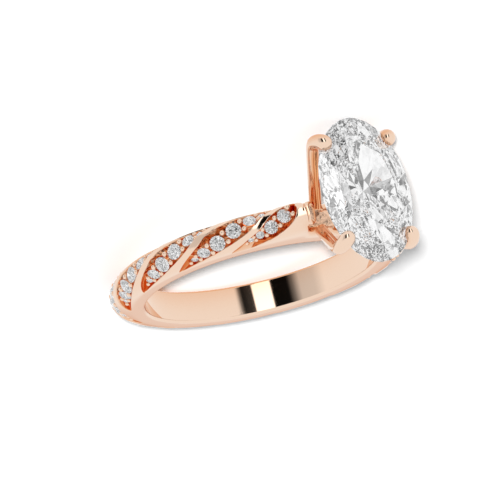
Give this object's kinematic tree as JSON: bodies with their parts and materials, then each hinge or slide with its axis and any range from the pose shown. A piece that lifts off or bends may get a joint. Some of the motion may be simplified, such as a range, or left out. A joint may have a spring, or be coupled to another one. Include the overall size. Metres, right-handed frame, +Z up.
{
  "type": "twisted shank ring",
  "caption": "Finger ring with a twisted, stone-set shank and a four-claw head that holds one large oval stone.",
  "frame": {"origin": "middle of the finger hole", "axes": "+Z up as the ring rests on its side; +X from the finger hole's middle towards the head, level with the table; the hole's axis leans back from +Z by 9.47 degrees"},
  "size_m": [0.0273, 0.0212, 0.0105],
  "materials": {
    "rose_gold": "polished",
    "clear_stone": "cut and polished",
    "small_clear_stone": "cut and polished"
  },
  "bodies": {
    "root": {"shank_with_head": "rose_gold", "oval_stone": "clear_stone", "pave_stones": "small_clear_stone"}
  },
  "joints": []
}
